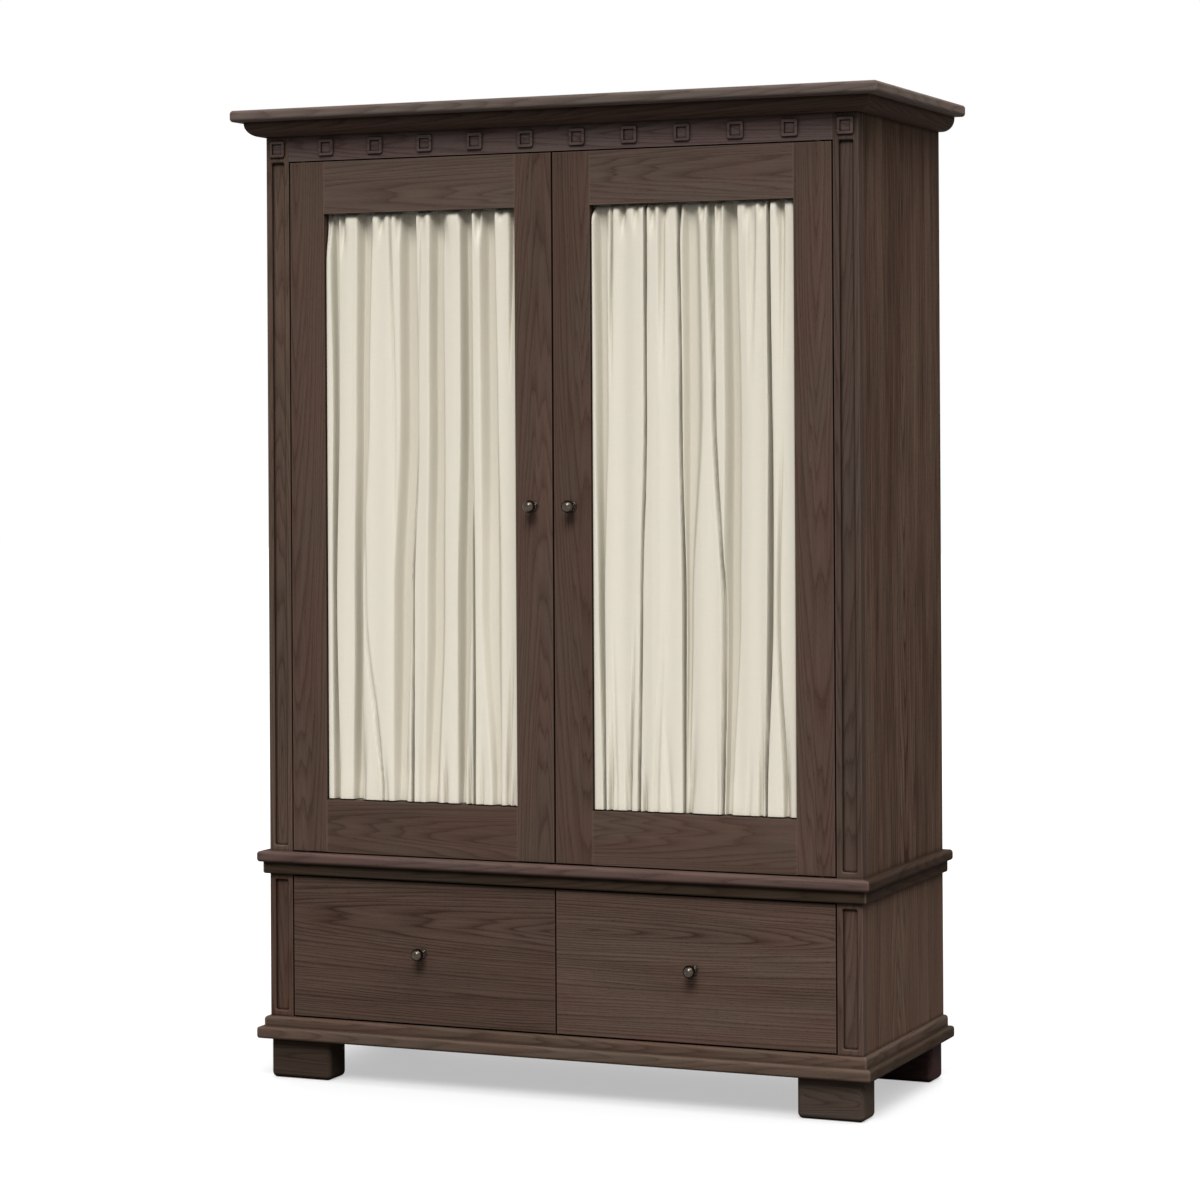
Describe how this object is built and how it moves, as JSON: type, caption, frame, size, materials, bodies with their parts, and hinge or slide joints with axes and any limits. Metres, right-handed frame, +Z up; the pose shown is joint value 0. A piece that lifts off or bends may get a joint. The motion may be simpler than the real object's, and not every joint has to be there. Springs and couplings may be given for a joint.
{
  "type": "wardrobe",
  "caption": "Tall dark wooden wardrobe with two curtained doors over a chest of drawers, on block feet, with a moulded cornice and waist.",
  "frame": {"origin": "on the floor, under the middle of the whole cabinet's box", "axes": "+Z up, +X to the right as seen from the front, +Y to the back; the doors face -Y"},
  "size_m": [1.48, 0.6, 2.105],
  "materials": {
    "stained_wood": "dark brown stain, satin lacquer",
    "drawer_wood": "plain pale wood, waxed",
    "back_board": "stained thin board",
    "aged_brass": "dark aged metal",
    "steel": "nickel plated",
    "plated_wire": "brass plated",
    "catch_plastic": "brown",
    "curtain_cloth": "cream cloth, gathered"
  },
  "bodies": {
    "carcass": {"foot_front_left": "stained_wood", "foot_front_right": "stained_wood", "foot_back_left": "stained_wood", "foot_back_right": "stained_wood", "base_slab": "stained_wood", "base_moulding": "stained_wood", "chest_side_left": "stained_wood", "chest_side_right": "stained_wood", "chest_post_left": "stained_wood", "chest_post_right": "stained_wood", "chest_rails": "stained_wood", "chest_divider": "drawer_wood", "chest_back": "back_board", "drawer_runners": "drawer_wood", "waist_moulding": "stained_wood", "waist_slab": "stained_wood", "upper_side_left": "stained_wood", "upper_side_right": "stained_wood", "upper_post_left": "stained_wood", "upper_post_right": "stained_wood", "upper_back": "back_board", "frieze_rail": "stained_wood", "frieze_squares": "stained_wood", "cornice_moulding": "stained_wood", "cornice_slab": "stained_wood", "hat_shelf": "stained_wood", "shelf_battens": "stained_wood", "clothes_rail": "steel", "rail_sockets": "steel", "door_stops": "stained_wood", "pivot_pins": "steel", "door_catches": "catch_plastic"},
    "door_left": {"door_left_outer_stile": "stained_wood", "door_left_inner_stile": "stained_wood", "door_left_top_rail": "stained_wood", "door_left_bottom_rail": "stained_wood", "door_left_knob": "aged_brass", "door_left_curtain_rods": "plated_wire", "door_left_curtain_hooks": "plated_wire", "door_left_curtain": "curtain_cloth", "door_left_catch_plate": "steel"},
    "drawer_left": {"drawer_left_front": "stained_wood", "drawer_left_sides": "drawer_wood", "drawer_left_back": "drawer_wood", "drawer_left_bottom": "drawer_wood", "drawer_left_knob": "aged_brass"},
    "door_right": {"door_right_outer_stile": "stained_wood", "door_right_inner_stile": "stained_wood", "door_right_top_rail": "stained_wood", "door_right_bottom_rail": "stained_wood", "door_right_knob": "aged_brass", "door_right_curtain_rods": "plated_wire", "door_right_curtain_hooks": "plated_wire", "door_right_curtain": "curtain_cloth", "door_right_catch_plate": "steel"},
    "drawer_right": {"drawer_right_front": "stained_wood", "drawer_right_sides": "drawer_wood", "drawer_right_back": "drawer_wood", "drawer_right_bottom": "drawer_wood", "drawer_right_knob": "aged_brass"}
  },
  "joints": [
    {"name": "door_left_hinge", "type": "hinge", "parent": "carcass", "child": "door_left", "pos_m": [-0.592, -0.229, 0.497], "axis": [0, 0, -1], "range_deg": [0, 105]},
    {"name": "door_right_hinge", "type": "hinge", "parent": "carcass", "child": "door_right", "pos_m": [0.592, -0.229, 0.497], "axis": [0, 0, 1], "range_deg": [0, 105]},
    {"name": "drawer_left_slide", "type": "slide", "parent": "carcass", "child": "drawer_left", "axis": [0, -1, 0], "range_m": [0, 0.38]},
    {"name": "drawer_right_slide", "type": "slide", "parent": "carcass", "child": "drawer_right", "axis": [0, -1, 0], "range_m": [0, 0.38]}
  ]
}
